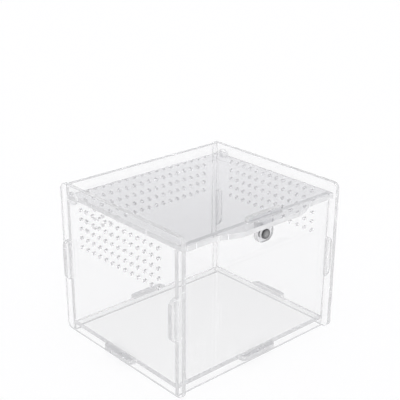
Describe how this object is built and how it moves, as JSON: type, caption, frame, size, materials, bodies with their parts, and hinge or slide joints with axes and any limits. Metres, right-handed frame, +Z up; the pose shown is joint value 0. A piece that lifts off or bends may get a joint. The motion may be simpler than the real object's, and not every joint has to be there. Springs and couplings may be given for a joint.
{
  "type": "acrylic terrarium",
  "caption": "Clear box of slotted acrylic plates with vented walls, a raised floor and a top lid that swings up on flat lugs and is held shut by a magnetic catch.",
  "frame": {"origin": "centre of the closed box's bounding box, on the ground under the wall edges that it stands on", "axes": "+X to the right along the front, +Y from the front panel to the back wall, +Z up"},
  "size_m": [0.133, 0.1174, 0.099],
  "materials": {
    "clear_acrylic": "clear polished sheet with laser-cut edges",
    "plated_magnet": "dark nickel plating, satin"
  },
  "bodies": {
    "box": {"left_wall": "clear_acrylic", "right_wall": "clear_acrylic", "back_wall": "clear_acrylic", "front_panel": "clear_acrylic", "floor_plate": "clear_acrylic", "keeper_magnet": "plated_magnet"},
    "lid": {"lid": "clear_acrylic", "catch_plate": "clear_acrylic", "lid_magnet": "plated_magnet"}
  },
  "joints": [
    {"name": "lid_hinge", "type": "hinge", "parent": "box", "child": "lid", "pos_m": [0, 0.04675, 0.0915], "axis": [-1, 0, 0], "range_deg": [0, 110]}
  ]
}
